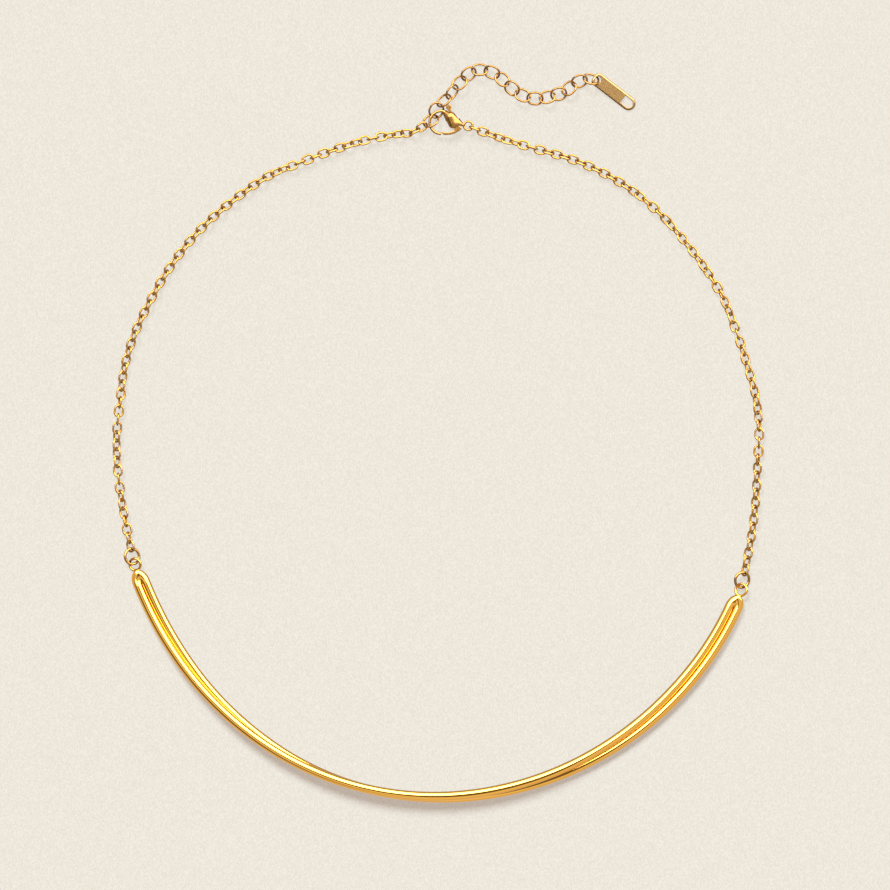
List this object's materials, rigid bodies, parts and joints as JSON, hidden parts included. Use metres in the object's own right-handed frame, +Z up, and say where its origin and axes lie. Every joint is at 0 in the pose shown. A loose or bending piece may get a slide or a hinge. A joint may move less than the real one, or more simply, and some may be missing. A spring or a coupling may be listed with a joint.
{
  "type": "twisted bar collar necklace with cable chain",
  "caption": "Gold-coloured collar necklace laid flat: a bowed, twisted double-ridge bar on fine cable chain, closed by a lobster clasp, with an extender chain and a flat end tag.",
  "frame": {"origin": "middle of the necklace's outline seen from above, on the surface that it lies on", "axes": "+Z up off the surface, +Y from the bar towards the clasp, +X to the right seen from above"},
  "size_m": [0.1303, 0.1478, 0.0035],
  "materials": {
    "bar_gold": "mirror polish, gold plated over stainless steel",
    "ring_gold": "polished, gold plated wire",
    "chain_gold": "polished, gold plated wire",
    "extender_gold": "polished, gold plated wire",
    "clasp_gold": "tumble polished, gold plated casting",
    "lever_gold": "tumble polished, gold plated",
    "tag_gold": "soft polish, gold plated sheet"
  },
  "bodies": {
    "necklace": {"bar": "bar_gold", "jump_ring_left": "ring_gold", "jump_ring_right": "ring_gold", "chain_left": "chain_gold", "chain_right": "chain_gold", "clasp_body": "clasp_gold", "hook_ring": "ring_gold", "extender_link_01": "extender_gold", "extender_link_02": "extender_gold", "extender_link_03": "extender_gold", "extender_link_04": "extender_gold", "extender_link_05": "extender_gold", "extender_link_06": "extender_gold", "extender_link_07": "extender_gold", "extender_link_08": "extender_gold", "extender_link_09": "extender_gold", "extender_link_10": "extender_gold", "extender_link_11": "extender_gold", "extender_link_12": "extender_gold", "extender_link_13": "extender_gold", "extender_link_14": "extender_gold", "extender_link_15": "extender_gold", "extender_link_16": "extender_gold", "tag": "tag_gold"},
    "lever": {"clasp_lever": "lever_gold"}
  },
  "joints": [
    {"name": "lever_hinge", "type": "hinge", "parent": "necklace", "child": "lever", "pos_m": [0.00336, 0.06171, 0.00152], "axis": [0, 0, -1], "range_deg": [0, 25], "stiffness_Nm_per_rad": 0.001, "springref_deg": -11.46}
  ]
}
